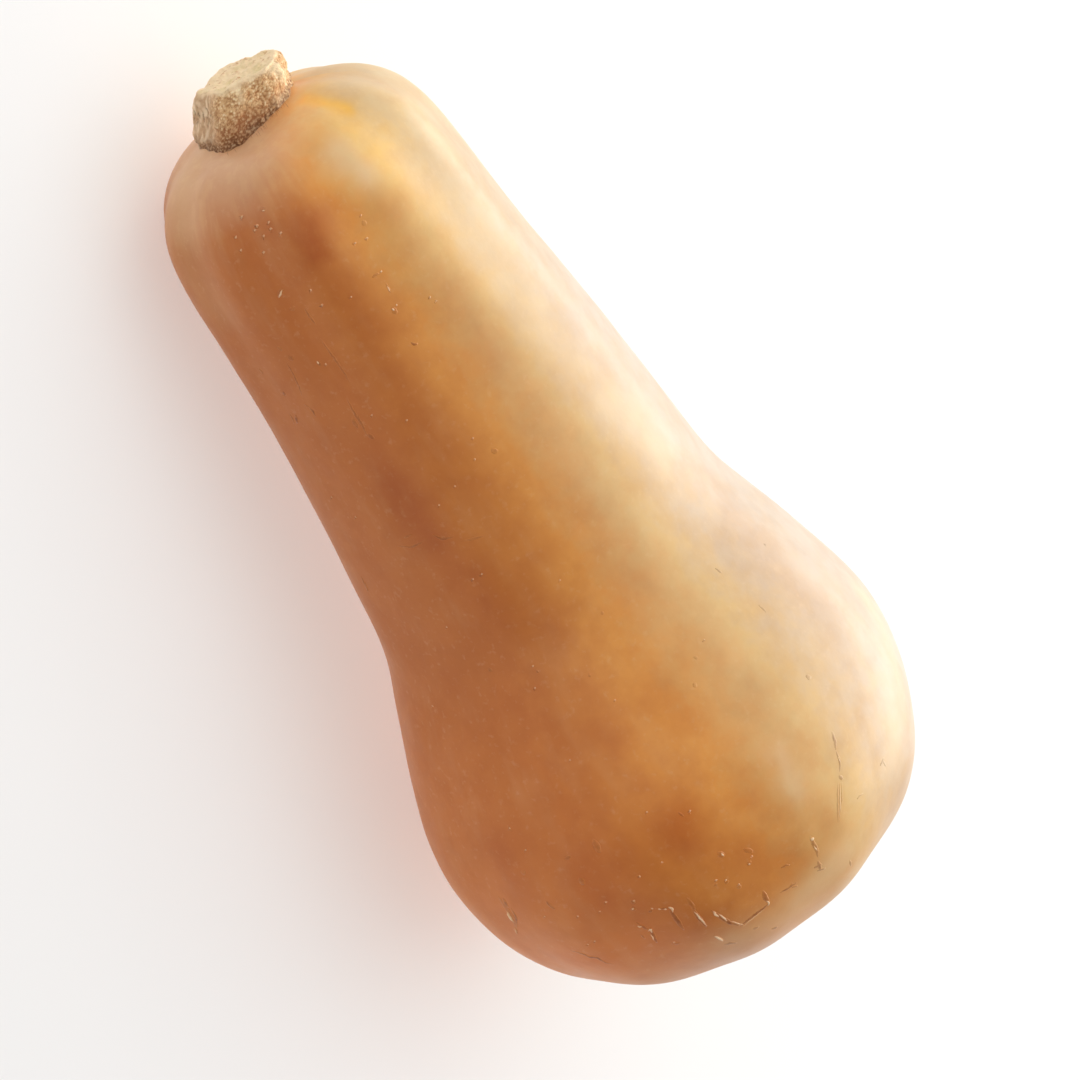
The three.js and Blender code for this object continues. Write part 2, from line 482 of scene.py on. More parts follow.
def make_clouds_group():
    """Soft clouds: noise stretched into a mask from 0 to 1."""
    group = bpy.data.node_groups.new("clouds", "ShaderNodeTree")
    for name, kind in (("Vector", "Vector"), ("Size", "Float"), ("Low", "Float"), ("High", "Float")):
        group.interface.new_socket(name, in_out="INPUT", socket_type="NodeSocket" + kind)
    group.interface.new_socket("Mask", in_out="OUTPUT", socket_type="NodeSocketFloat")
    inputs = group.nodes.new("NodeGroupInput")
    outputs = group.nodes.new("NodeGroupOutput")
    fine = calculate(group, "DIVIDE", 1.0, inputs.outputs["Size"])
    cloud = add_node(
        group, "ShaderNodeTexNoise", Vector=inputs.outputs["Vector"], Scale=fine, Detail=4.0, Roughness=0.55
    )
    ranged = add_node(
        group,
        "ShaderNodeMapRange",
        interpolation_type="SMOOTHSTEP",
        Value=cloud.outputs["Fac"],
        From_Min=inputs.outputs["Low"],
        From_Max=inputs.outputs["High"],
    )
    group.links.new(ranged.outputs["Result"], outputs.inputs["Mask"])
    return group


clouds_group = make_clouds_group()


def clouds(tree, vector, size, low, high):
    node = tree.nodes.new("ShaderNodeGroup")
    node.node_tree = clouds_group
    tree.links.new(vector, node.inputs["Vector"])
    node.inputs["Size"].default_value = size
    node.inputs["Low"].default_value = low
    node.inputs["High"].default_value = high
    return node.outputs["Mask"]


def new_material(name):
    material = bpy.data.materials.new(name)
    material.use_nodes = True
    shader = material.node_tree.nodes["Principled BSDF"]
    return material, material.node_tree, shader


# Colours round the fruit, from underneath to the window side: the dark end is partly painted shade, the pale
# end partly painted light and sheen.
rind_round_with_painted_light = [
    (0.0, linear(194, 116, 56)),
    (0.3, linear(199, 114, 48)),
    (0.46, linear(214, 133, 59)),
    (0.6, linear(233, 157, 72)),
    (0.8, linear(226, 185, 119)),
    (0.93, linear(211, 183, 149)),
    (1.0, linear(207, 187, 165)),
]
rind_ripe = (0.72, 0.48, 0.27)
rind_pale_and_sheen = linear(244, 213, 166)
rind_ray = linear(240, 205, 140)
rind_crown = linear(226, 186, 150)
rind_scar = linear(150, 112, 78)
rind_cap = linear(228, 178, 124)
stem_warmth = (1.03, 1.0, 0.84)
crown_painted_light = (1.2, 1.18, 1.06)
bulb_painted_light = (1.12, 1.12, 1.02)
base_painted_bounce = (1.26, 1.22, 0.88)
end_painted_bounce = (1.2, 1.1, 0.76)
rind_golden = (1.12, 0.95, 0.36)


def make_rind_group():
    """The rind's colour, and how rough and how high its surface is."""
    group = bpy.data.node_groups.new("rind", "ShaderNodeTree")
    group.interface.new_socket("Color", in_out="OUTPUT", socket_type="NodeSocketColor")
    group.interface.new_socket("Roughness", in_out="OUTPUT", socket_type="NodeSocketFloat")
    group.interface.new_socket("Height", in_out="OUTPUT", socket_type="NodeSocketFloat")
    outputs = group.nodes.new("NodeGroupOutput")
    grain = attribute(group, "grain", "Vector")
    place = add_node(group, "ShaderNodeTexCoord").outputs["Object"]
    along = attribute(group, "along")
    # The colour round the fruit: the rind's own paler side, with painted light on the window side and
    # painted shade underneath.
    wander = map_range(group, clouds(group, place, 0.009, 0.3, 0.7), 0, 1, -0.022, 0.022)
    strayed = calculate(group, "ADD", attribute(group, "pale_side"), wander)
    fray = map_range(group, clouds(group, place, 0.004, 0.3, 0.7), 0, 1, -0.014, 0.014)
    strayed = calculate(group, "ADD", strayed, fray)
    colour = colour_ramp(group, strayed, rind_round_with_painted_light)
    # Painted light: the bulb is made lighter on its shaded side.
    on_bulb = map_range(group, along, 0.54, 0.66)
    on_bulb = product(group, on_bulb, map_range(group, along, 0.86, 0.74))
    on_shade = map_range(group, attribute(group, "pale_side"), 0.75, 0.5)
    colour = colour_mix(group, product(group, on_bulb, on_shade), colour, bulb_painted_light, "MULTIPLY")
    # Painted bounce light: the underside of the bulb is made lighter and warmer.
    on_base = map_range(group, along, 0.72, 0.84)
    below = map_range(group, attribute(group, "pale_side"), 0.4, 0.12)
    colour = colour_mix(group, product(group, on_base, below), colour, base_painted_bounce, "MULTIPLY")
    upper = map_range(group, attribute(group, "pale_side"), 0.6, 0.8)
    by_stem = product(group, map_range(group, along, 0.34, 0.18), upper)
    colour = colour_mix(group, by_stem, colour, stem_warmth, "MULTIPLY")
    # Painted bounce light: the underside by the flower's end is made lighter and warmer.
    on_end = map_range(group, along, 0.82, 0.9)
    beneath = map_range(group, attribute(group, "pale_side"), 0.45, 0.28)
    colour = colour_mix(group, product(group, on_end, beneath), colour, end_painted_bounce, "MULTIPLY")
    broad = product(group, clouds(group, grain, 0.5, 0.44, 0.64), 0.11)
    colour = colour_mix(group, broad, colour, rind_ripe, "MULTIPLY")
    streaks = product(group, clouds(group, grain, 0.13, 0.48, 0.72), 0.05)
    colour = colour_mix(group, streaks, colour, rind_pale_and_sheen)
    blotches = product(group, clouds(group, place, 0.012, 0.44, 0.62), 0.12)
    colour = colour_mix(group, blotches, colour, rind_ripe, "MULTIPLY")
    dapple = product(group, clouds(group, place, 0.0055, 0.42, 0.66), 0.12)
    colour = colour_mix(group, dapple, colour, rind_ripe, "MULTIPLY")
    flecks = product(group, clouds(group, place, 0.0016, 0.56, 0.74), 0.1)
    colour = colour_mix(group, flecks, colour, rind_pale_and_sheen)
    on_crown = map_range(group, along, 0.07, 0.02, 0.0, 0.62)
    # Painted light: by the stem, the side that faces the window is made lighter.
    sunny = map_range(group, attribute(group, "pale_side"), 0.5, 0.7)
    painted_lit_crown = product(group, map_range(group, along, 0.16, 0.06), sunny)
    colour = colour_mix(group, painted_lit_crown, colour, crown_painted_light, "MULTIPLY")
    on_crown = product(group, on_crown, map_range(group, sunny, 0, 1, 1.0, 0.35))
    crown_cover = map_range(group, clouds(group, place, 0.008, 0.3, 0.7), 0, 1, 0.7, 1.0)
    colour = colour_mix(group, product(group, on_crown, crown_cover), colour, rind_crown)
    on_cap = map_range(group, along, 0.86, 0.985, 0.0, 0.7)
    colour = colour_mix(group, on_cap, colour, rind_cap)
    near_stem = map_range(group, along, 0.11, 0.0)
    rays = product(group, near_stem, clouds(group, grain, 0.1, 0.48, 0.6))
    colour = colour_mix(group, product(group, rays, 0.15), colour, rind_ray)
    near_blossom = product(group, map_range(group, along, 0.82, 0.97), 0.12)
    colour = colour_mix(group, near_blossom, colour, rind_ripe, "MULTIPLY")
    broken = clouds(group, place, 0.004, 0.2, 0.55)
    ripe = product(group, attribute(group, "ripe"), map_range(group, broken, 0, 1, 0.75, 1.0))
    colour = colour_mix(group, ripe, colour, rind_ripe, "MULTIPLY")
    colour = colour_mix(group, attribute(group, "golden"), colour, rind_golden, "MULTIPLY")
    # Painted highlights and sheen, and a paler shoulder by the stem.
    colour = colour_mix(group, attribute(group, "pale"), colour, rind_pale_and_sheen)
    scarred = product(group, attribute(group, "scar"), 0.85)
    colour = colour_mix(group, scarred, colour, rind_scar)
    group.links.new(colour, outputs.inputs["Color"])
    rough = map_range(group, clouds(group, place, 0.012, 0.3, 0.7), 0, 1, 0.38, 0.47)
    group.links.new(rough, outputs.inputs["Roughness"])
    leather = add_node(group, "ShaderNodeTexNoise", Vector=place, Scale=260.0, Detail=3.0)
    pores = add_node(group, "ShaderNodeTexNoise", Vector=place, Scale=1500.0, Detail=2.0)
    height = calculate(group, "MULTIPLY_ADD", pores.outputs["Fac"], 0.2, leather.outputs["Fac"])
    group.links.new(height, outputs.inputs["Height"])
    return group


rind_group = make_rind_group()


def rind_shader(name):
    """A waxy material whose colour and surface are the rind's."""
    material, tree, shader = new_material(name)
    rind = tree.nodes.new("ShaderNodeGroup")
    rind.node_tree = rind_group
    tree.links.new(rind.outputs["Color"], shader.inputs["Base Color"])
    tree.links.new(rind.outputs["Roughness"], shader.inputs["Roughness"])
    bump = add_node(tree, "ShaderNodeBump", Strength=0.22, Distance=0.00025, Height=rind.outputs["Height"])
    tree.links.new(bump.outputs["Normal"], shader.inputs["Normal"])
    gloss = map_range(tree, attribute(tree, "pale_side"), 0.05, 0.45, 0.22, 0.5)
    tree.links.new(gloss, shader.inputs["Specular IOR Level"])
    shader.inputs["Subsurface Weight"].default_value = 0.05
    shader.inputs["Subsurface Radius"].default_value = (0.006, 0.003, 0.0015)
    shader.inputs["Subsurface Scale"].default_value = 0.6
    shader.inputs["Coat Weight"].default_value = 0.1
    shader.inputs["Coat Roughness"].default_value = 0.3
    return material, tree, shader, rind


fruit = new_piece(
    "squash_fruit",
    skin_points * millimetre,
    skin_faces,
    rind_shader("waxy_rind")[0],
    rind_fields(skin_points),
)
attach(fruit, "root")
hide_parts("squash_body")


# Marks that the rind grew with: brown scratches and pits, pale threads of cork, and tiny pale warts.
# Stains are thin lenses that lie almost flush with the rind, and threads stand a little proud of it.
# Beside each wart lies a dark stain that is a painted shadow.
mark_sides = 10
# Scratches, each with the pixels of the photograph that it runs through,
# its half width in millimetres, and how dark it is. Threads of cork are given in the same way.
scratches = [
    ([(498, 896), (503, 903), (509, 912), (515, 922), (517, 932)], 1.2, 0.5),
    ([(503, 898), (508, 908)], 0.9, 0.75),
    ([(511, 908), (516, 917), (517, 927)], 0.45, 0.8),
    ([(569, 950), (580, 953), (590, 957), (598, 958), (606, 963), (614, 964)], 0.5, 0.85),
    ([(546, 901), (551, 906), (555, 909)], 0.8, 0.65),
    ([(593, 839), (597, 847), (600, 853)], 1.1, 0.5),
    ([(565, 859), (571, 856)], 0.7, 0.6),
    ([(523, 870), (524, 875)], 0.9, 0.35),
    ([(580, 877), (583, 885)], 1.0, 0.4),
    ([(632, 900), (634, 904)], 0.6, 0.7),
    ([(630, 909), (636, 909)], 0.8, 0.75),
    ([(649, 910), (652, 912)], 0.7, 0.8),
    ([(655, 909), (671, 908)], 0.35, 0.5),
    ([(669, 909), (674, 916), (679, 923), (684, 930)], 0.8, 0.75),
    ([(687, 898), (691, 904), (695, 910)], 0.7, 0.7),
    ([(692, 909), (699, 918), (706, 927)], 0.75, 0.7),
    ([(636, 922), (645, 928), (650, 930)], 0.45, 0.65),
    ([(650, 927), (653, 935), (657, 943)], 0.7, 0.75),
    ([(641, 934), (645, 939)], 0.35, 0.45),
    ([(711, 910), (716, 914), (722, 918), (730, 923), (740, 926)], 0.7, 0.75),
    ([(740, 926), (748, 920), (757, 913), (764, 908), (770, 902)], 0.45, 0.95),
    ([(763, 891), (765, 897), (769, 903)], 0.8, 0.8),
    ([(780, 893), (790, 887), (797, 882)], 0.35, 0.85),
    ([(789, 888), (793, 883)], 0.3, 0.7),
    ([(792, 887), (798, 886)], 0.3, 0.7),
    ([(724, 945), (731, 943), (737, 943)], 0.55, 0.75),
    ([(714, 935), (723, 941)], 0.5, 0.5),
    ([(753, 929), (759, 927)], 0.7, 0.5),
    ([(772, 929), (778, 927)], 0.7, 0.8),
    ([(674, 944), (680, 943)], 0.5, 0.4),
    ([(718, 852), (724, 857)], 0.9, 0.5),
    ([(748, 862), (751, 864)], 0.85, 0.55),
    ([(744, 849), (753, 852)], 0.8, 0.45),
    ([(781, 868), (786, 865), (790, 865)], 0.35, 0.85),
    ([(714, 884), (716, 886)], 0.7, 0.45),
    ([(726, 881), (728, 883)], 0.5, 0.35),
    ([(737, 885), (741, 888)], 0.7, 0.5),
    ([(810, 836), (813, 843), (817, 850), (818, 857)], 0.55, 0.65),
    ([(814, 868), (822, 864)], 0.5, 0.8),
    ([(818, 861), (821, 870)], 0.5, 0.8),
    ([(817, 871), (826, 868)], 0.3, 0.7),
    ([(850, 860), (851, 866)], 0.35, 0.6),
    ([(880, 766), (884, 758)], 0.3, 0.5),
    ([(883, 761), (886, 766)], 0.25, 0.4),
    ([(857, 799), (863, 793)], 0.25, 0.6),
    ([(832, 731), (835, 741), (836, 750)], 0.45, 0.7),
    ([(836, 750), (840, 762), (840, 772)], 0.35, 0.7),
    ([(839, 776), (843, 779)], 0.5, 0.6),
    ([(838, 782), (838, 800), (838, 822)], 0.35, 0.35),
    ([(842, 782), (842, 800), (840, 815)], 0.25, 0.3),
    ([(288, 356), (292, 359), (294, 359)], 0.85, 0.7),
    ([(278, 346), (282, 351)], 0.7, 0.45),
    ([(259, 369), (263, 374)], 0.6, 0.4),
    ([(283, 391), (285, 396)], 0.6, 0.85),
    ([(296, 415), (297, 423)], 0.55, 0.8),
    ([(289, 413), (293, 419), (294, 424)], 0.3, 0.5),
    ([(309, 407), (313, 411), (316, 417)], 0.35, 0.8),
    ([(304, 404), (310, 408)], 0.25, 0.5),
    ([(286, 362), (293, 373), (299, 386), (302, 396)], 0.3, 0.6),
    ([(304, 308), (310, 317), (316, 325)], 0.3, 0.6),
    ([(320, 338), (330, 352), (341, 368), (350, 382)], 0.3, 0.5),
    ([(346, 396), (350, 405), (356, 416), (362, 424), (366, 434), (372, 438)], 0.35, 0.5),
    ([(352, 418), (358, 428)], 0.6, 0.4),
    ([(368, 434), (374, 439)], 0.6, 0.7),
    ([(358, 414), (360, 424)], 0.25, 0.5),
    ([(317, 360), (320, 366)], 0.5, 0.7),
    ([(278, 297), (281, 291), (284, 290)], 0.6, 0.6),
    ([(291, 306), (294, 311)], 0.9, 0.35),
    ([(372, 277), (379, 273)], 0.35, 0.45),
    ([(386, 283), (391, 293)], 0.3, 0.35),
    ([(392, 307), (395, 312), (398, 313)], 0.6, 0.55),
    ([(411, 342), (415, 345), (418, 343)], 0.35, 0.8),
    ([(362, 221), (366, 225)], 0.6, 0.35),
    ([(260, 210), (266, 209)], 0.55, 0.45),
    ([(491, 450), (498, 452)], 0.8, 0.6),
    ([(432, 534), (442, 539), (454, 537)], 0.35, 0.6),
    ([(398, 546), (412, 547), (424, 541)], 0.3, 0.5),
    ([(404, 538), (412, 534)], 0.3, 0.45),
    ([(464, 541), (484, 536)], 0.3, 0.35),
    ([(361, 576), (366, 588)], 0.35, 0.5),
    ([(365, 582), (368, 592)], 0.5, 0.5),
    ([(715, 568), (722, 573)], 0.3, 0.6),
    ([(759, 605), (766, 612)], 0.25, 0.35),
    ([(764, 543), (766, 546)], 0.3, 0.6),
    ([(601, 612), (604, 614)], 0.4, 0.5),
    ([(694, 656), (698, 659)], 0.4, 0.5),
    ([(588, 674), (591, 677)], 0.35, 0.6),
    ([(488, 669), (492, 671)], 0.5, 0.55),
    ([(536, 670), (539, 673)], 0.3, 0.6),
    ([(693, 684), (697, 686)], 0.55, 0.4),
    ([(806, 676), (811, 678)], 0.6, 0.4),
    ([(508, 826), (511, 831)], 0.5, 0.35),
    ([(678, 812), (684, 817)], 0.3, 0.5),
]
cork_threads = [
    ([(507, 911), (510, 916), (514, 922)], 0.6, 0.9),
    ([(515, 927), (517, 934)], 0.3, 0.5),
    ([(632, 908), (634, 909)], 0.35, 0.7),
    ([(633, 901), (635, 900)], 0.25, 0.6),
    ([(651, 908), (653, 909)], 0.22, 0.6),
    ([(658, 909), (661, 909)], 0.22, 0.7),
    ([(664, 909), (667, 909)], 0.25, 0.8),
    ([(668, 907), (672, 908), (673, 912)], 0.32, 0.9),
    ([(694, 911), (700, 918), (707, 926)], 0.26, 0.9),
    ([(637, 926), (642, 927)], 0.28, 0.7),
    ([(648, 931), (651, 929), (652, 933)], 0.26, 0.9),
    ([(651, 934), (654, 940)], 0.18, 0.8),
    ([(713, 911), (716, 915), (719, 917)], 0.32, 0.8),
    ([(719, 914), (724, 918), (727, 921)], 0.24, 0.9),
    ([(731, 921), (740, 924), (744, 925)], 0.16, 0.7),
    ([(741, 928), (749, 921), (757, 915), (765, 908)], 0.14, 0.7),
    ([(766, 901), (769, 902), (768, 906)], 0.24, 0.9),
    ([(714, 936), (719, 938), (723, 941)], 0.34, 1.0),
    ([(721, 853), (724, 856)], 0.26, 0.8),
    ([(749, 863), (750, 865)], 0.26, 0.7),
    ([(811, 838), (813, 840)], 0.5, 1.0),
    ([(814, 846), (817, 851)], 0.2, 0.6),
    ([(840, 783), (840, 800), (839, 822)], 0.2, 0.55),
    ([(838, 757), (840, 764)], 0.18, 0.5),
    ([(279, 298), (281, 293), (282, 290)], 0.26, 0.8),
    ([(387, 286), (390, 292)], 0.18, 0.6),
    ([(392, 308), (394, 311)], 0.26, 0.8),
    ([(396, 304), (397, 306)], 0.22, 0.7),
    ([(380, 272), (382, 271)], 0.26, 0.8),
    ([(317, 361), (319, 364)], 0.24, 0.8),
    ([(262, 211), (265, 210)], 0.2, 0.6),
]
# Warts: a pixel of the photograph, and the half width in millimetres.
warts = [
    (242, 217, 0.45), (257, 226, 0.5), (255, 230, 0.32), (269, 222, 0.42), (271, 229, 0.42),
    (264, 236, 0.42), (264, 252, 0.36), (236, 237, 0.4), (241, 250, 0.36), (281, 233, 0.42),
    (311, 290, 0.3), (322, 305, 0.36), (326, 364, 0.26), (351, 297, 0.22), (361, 215, 0.25),
    (355, 243, 0.3), (367, 238, 0.3), (372, 415, 0.28), (407, 420, 0.25), (430, 297, 0.25),
    (436, 301, 0.2), (439, 505, 0.25), (455, 486, 0.2), (473, 579, 0.25), (482, 574, 0.28),
    (332, 497, 0.2), (356, 517, 0.22), (473, 438, 0.22), (475, 459, 0.22), (606, 902, 0.28),
    (578, 916, 0.24), (600, 911, 0.24), (545, 916, 0.24), (588, 944, 0.28), (595, 941, 0.28),
    (526, 850, 0.26), (510, 828, 0.2), (647, 812, 0.22), (690, 811, 0.3), (716, 880, 0.28),
    (726, 880, 0.24), (739, 884, 0.26), (674, 942, 0.26), (640, 876, 0.24), (752, 856, 0.22),
    (533, 666, 0.24), (535, 688, 0.24), (704, 640, 0.18), (615, 700, 0.18), (433, 706, 0.2),
    (560, 580, 0.18), (447, 627, 0.2), (662, 862, 0.2), (570, 760, 0.2),
]
marks = {"points": [], "faces": [], "stain_and_shadow": [], "cork": []}
mark_count = 0


def add_mark(centres, normals, half_width, height, stain_and_shadow, cork):
    """One pointed body along the given centres, sunk to its middle in the rind."""
    global mark_count
    count = len(centres)
    turn = np.linspace(0, 2 * np.pi, mark_sides, endpoint=False)
    top = np.clip(np.sin(turn), 0, 1)
    for k in range(count):
        along = np.array(centres[min(k + 1, count - 1)]) - np.array(centres[max(k - 1, 0)])
        normal = np.array(normals[k])
        side = np.cross(normal, along)
        side /= max(np.linalg.norm(side), 1e-9)
        taper = math.sin(math.pi * (k + 0.3) / (count - 0.4)) ** 0.6
        across = half_width * taper * np.cos(turn)
        lift = height * taper * np.sin(turn)
        rim = np.array(centres[k]) + across[:, None] * side + lift[:, None] * normal
        marks["points"].append(rim)
        marks["stain_and_shadow"].append(stain_and_shadow * taper * top**1.8 * (0.85 + 0.7 * noise_at(rim, 1.1, 14)))
        marks["cork"].append(cork * taper * top**0.5)
    ring = np.arange(mark_sides)
    after = (ring + 1) % mark_sides
    for k in range(count - 1):
        low = mark_count + k * mark_sides
        high = low + mark_sides
        marks["faces"] += [(low + a, low + b, high + b, high + a) for a, b in zip(ring, after)]
    marks["faces"].append(tuple(mark_count + ring[::-1]))
    marks["faces"].append(tuple(mark_count + (count - 1) * mark_sides + ring))
    mark_count += count * mark_sides


def add_line(pixels, half_width, height, stain_and_shadow, cork, seed):
    """A mark that follows a line of pixels, with an uneven run. Short stains and painted shadows are
    fainter.
    """
    draw = random.Random(seed)
    corners = np.array(pixels, float)
    steps = np.hypot(*np.diff(corners, axis=0).T)
    travelled = np.concatenate([[0], np.cumsum(steps)])
    stain_and_shadow *= 0.75 if travelled[-1] < 8 else 1.0
    count = max(7, int(travelled[-1] / 1.3))
    even = np.linspace(0, travelled[-1], count)
    line = np.stack([np.interp(even, travelled, corners[:, axis]) for axis in (0, 1)], 1)
    line += np.array([[draw.uniform(-0.3, 0.3), draw.uniform(-0.3, 0.3)] for _ in range(count)])
    found = [on_skin(x, y) for x, y in line]
    add_mark([point for point, _ in found], [normal for _, normal in found], half_width, height, stain_and_shadow, cork)


for number, (pixels, half_width, darkness) in enumerate(scratches):
    add_line(pixels, half_width * (0.8 if half_width > 0.65 else 1), 0.05, darkness, 0.0, number)
for number, (pixels, half_width, paleness) in enumerate(cork_threads):
    add_line(pixels, half_width, 0.06 + 0.6 * half_width, 0.0, paleness, 200 + number)
for number, (x, y, half_width) in enumerate(warts):
    # A painted shadow: a dark stain to the lower left of the wart in the picture.
    add_line([(x - 1.6, y + 1.8), (x - 0.4, y + 1.2)], 1.5 * half_width, 0.04, 0.45, 0.0, 300 + number)
    ends = [(x - 0.9, y - 0.5), (x + 0.9, y + 0.5)]
    add_line(ends, half_width, 0.06 + 0.5 * half_width, 0.0, 0.5, 400 + number)


def on_far_side(along, angle):
    """The point of the skin and its normal at a place along and round the fruit."""
    axis_point = np.array([along, 0.0, 0.0])
    well_outside = 200
    outside = axis_point + well_outside * np.array([0.0, math.cos(angle), math.sin(angle)])
    start, aim = (Vector(laid_down(point) + lay_shift) * millimetre for point in (outside, axis_point))
    place, normal, _, _ = skin_tree.ray_cast(start, aim - start)
    return np.array(place) / millimetre, np.array(normal)


# A few marks on the side that the photograph doesn't show: scratches, and short threads of cork.
far_marks = 26
far_steps = 8
far_draw = random.Random(11)
for number in range(far_marks):
    along = far_draw.uniform(25, 226)
    angle = math.radians(far_draw.uniform(-115, 35))
    drift = far_draw.uniform(-0.3, 0.3)
    length = far_draw.uniform(0.8, 6.5)
    spots = [
        on_far_side(along + length * k / far_steps, angle + drift * length * k / (50 * far_steps))
        for k in range(far_steps + 1)
    ]
    half_width = far_draw.uniform(0.25, 0.45)
    points = [point for point, _ in spots]
    normals = [normal for _, normal in spots]
    if number % 3 == 0:
        add_mark(points, normals, half_width, 0.05, 0.5, 0.0)
    else:
        add_mark(points[:3], normals[:3], half_width, 0.25, 0.0, 0.45)

# Thin dark fibres along the foot of the stem, as pixels of the photograph, and a painted shadow there.
fibre_and_shadow_strokes = 22
fringe_x = (287, 276, 266, 254, 239, 226)
fringe_y = (98, 110, 121, 133, 145, 152)
fringe_draw = random.Random(7)
for number in range(fibre_and_shadow_strokes):
    share = fringe_draw.uniform(0, len(fringe_x) - 1)
    x = np.interp(share, range(len(fringe_x)), fringe_x) + fringe_draw.uniform(-1, 1)
    y = np.interp(share, range(len(fringe_x)), fringe_y) + fringe_draw.uniform(-1, 1)
    reach = fringe_draw.uniform(3, 7)
    end = (x + reach * fringe_draw.uniform(0.3, 0.8), y + reach * 0.8)
    add_line([(x, y), end], 0.11, 0.05, 0.8, 0.0, 500 + number)

rind_stain_and_shadow_tint = (0.42, 0.27, 0.18)
cork_pale = linear(246, 214, 170)


def make_marks_material():
    material, tree, shader, rind = rind_shader("rind_marks")
    # Dark stains, some of which are painted shadows, then pale cork.
    stained = colour_mix(tree, attribute(tree, "stain_and_shadow"), rind.outputs["Color"], rind_stain_and_shadow_tint, "MULTIPLY")
    colour = colour_mix(tree, attribute(tree, "cork"), stained, cork_pale)
    tree.links.new(colour, shader.inputs["Base Color"])
    return material


mark_points = np.vstack(marks["points"])
mark_fields = rind_fields(mark_points)
mark_fields["stain_and_shadow"] = np.concatenate(marks["stain_and_shadow"])
mark_fields["cork"] = np.concatenate(marks["cork"])
rind_marks = new_piece(
    "rind_marks",
    mark_points * millimetre,
    marks["faces"],
    make_marks_material(),
    mark_fields,
)
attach(rind_marks, "root")


# The stem: a dry stump of cork, flared and five-cornered where it grips the fruit, and cut at a slant.
# Its sides are crusted with pale grains. One flank has worn smooth and grey, and the foot is dark.
stem_outline = [
    (-5, 0),
    (-5, 8.6),
    (-4.2, 11),
    (-3.3, 12.3),
    (-2.3, 12.9),
    (-1, 12.8),
    (0.4, 12.5),
    (2, 12),
    (4, 11.5),
    (6.2, 10.9),
    (9, 10.4),
    (12, 10.1),
    (15, 10),
]
stem_corners = 5
stem_corner_depth = 0.075
stem_foot_corner_depth = 0.03
stem_corner_at = math.radians(93)
stem_lean_up = 0.275
stem_lean_side = 0.24
stem_foot_side = -0.6
stem_foot_up = -0.5
stem_cut_height = 6.9
stem_cut_fall_up = math.radians(2.5)
stem_cut_fall_side = math.radians(4)
stem_sectors = 330
stem_side_rows = 84
stem_cap_rows = 40
rim_rounding = 0.06
rim_notch_at = math.radians(258)
rim_notch_reach = math.radians(9)
rim_notch_depth = 1.0
rust_at = math.radians(150)
rim_rounds = 12
smooth_flank_at = math.radians(218)
smooth_flank_reach = math.radians(38)
grain_size = 0.72
grain_height = 0.42


def stem_radius(height):
    """The outline's radius at a height, with its bends rounded."""
    heights, radii = np.array(stem_outline[1:], float).T
    spread = np.linspace(-0.6, 0.6, 9)
    return np.mean([np.interp(height + step, heights, radii) for step in spread], axis=0)


def grains_at(points, size):
    """Rounded grains: 1 at the middle of each and 0 in the crevices between them."""
    nearest = np.array([noise.voronoi(Vector(point) / size)[0][0] for point in points])
    return np.clip(1 - 2.4 * nearest**2, 0, 1)


stem_angle = np.linspace(0, 2 * np.pi, stem_sectors, endpoint=False)
corner_wave = np.cos(stem_corners * (stem_angle - stem_corner_at))


def stem_swell(height):
    """How the corners change the radius at a height: little at the foot, more at the cut."""
    above_foot = smooth_step(-3, 4, height)
    depth = stem_foot_corner_depth + (stem_corner_depth - stem_foot_corner_depth) * above_foot
    return 1 + depth * corner_wave


def cut_height_at(side, up):
    """How high the slanted cut is above the stem's foot at a place across the stem."""
    fall_side = math.tan(stem_cut_fall_side) / math.cos(stem_cut_fall_up)
    fall_up = math.tan(stem_cut_fall_up)
    middle_side = stem_foot_side + stem_lean_side * stem_cut_height
    middle_up = stem_foot_up + stem_lean_up * stem_cut_height
    return stem_cut_height - fall_side * (side - middle_side) - fall_up * (up - middle_up)


rim_height = np.full(stem_sectors, stem_cut_height)
for _ in range(rim_rounds):
    rim_radius = stem_radius(rim_height) * stem_swell(rim_height)
    rim_side = rim_radius * np.cos(stem_angle) + stem_foot_side + stem_lean_side * rim_height
    rim_up = rim_radius * np.sin(stem_angle) + stem_foot_up + stem_lean_up * rim_height
    rim_height = 0.5 * (rim_height + cut_height_at(rim_side, rim_up))
rim_places = np.stack([np.cos(stem_angle), np.sin(stem_angle), 0 * stem_angle], -1) * 10
rim_height = rim_height + 0.45 * noise_at(rim_places, 3.0, 21) + 0.25 * noise_at(rim_places, 1.1, 22)
rim_height = rim_height - rim_notch_depth * np.exp(-(((stem_angle - rim_notch_at) / rim_notch_reach) ** 2))

foot_height = stem_outline[0][0]
stem_rows = []
for share in np.linspace(0.12, 1, 8):
    height = np.full(stem_sectors, float(foot_height))
    stem_rows.append((height, stem_radius(height) * stem_swell(height) * share, 0.0, "root"))
for share in np.linspace(0, 1, stem_side_rows)[1:]:
    height = foot_height + (rim_height - foot_height) * share
    rounded = 1 - rim_rounding * smooth_step(0.84, 1, share) ** 2
    stem_rows.append((height, stem_radius(height) * stem_swell(height) * rounded, 0.0, "side"))
for share in np.linspace(1, 0.03, stem_cap_rows)[1:]:
    radius = stem_radius(rim_height) * stem_swell(rim_height) * share * (1 - rim_rounding)
    stem_rows.append((rim_height, radius, 1 - share, "cut"))

height = np.concatenate([row[0] for row in stem_rows])
radius = np.concatenate([row[1] for row in stem_rows])
inset = np.repeat([row[2] for row in stem_rows], stem_sectors)
on_side = np.repeat([row[3] == "side" for row in stem_rows], stem_sectors)
on_cut = np.repeat([row[3] == "cut" for row in stem_rows], stem_sectors)
around = np.tile(stem_angle, len(stem_rows))
above_foot = smooth_step(-3.4, -2.2, height)
rim_gap = np.tile(rim_height, len(stem_rows)) - height
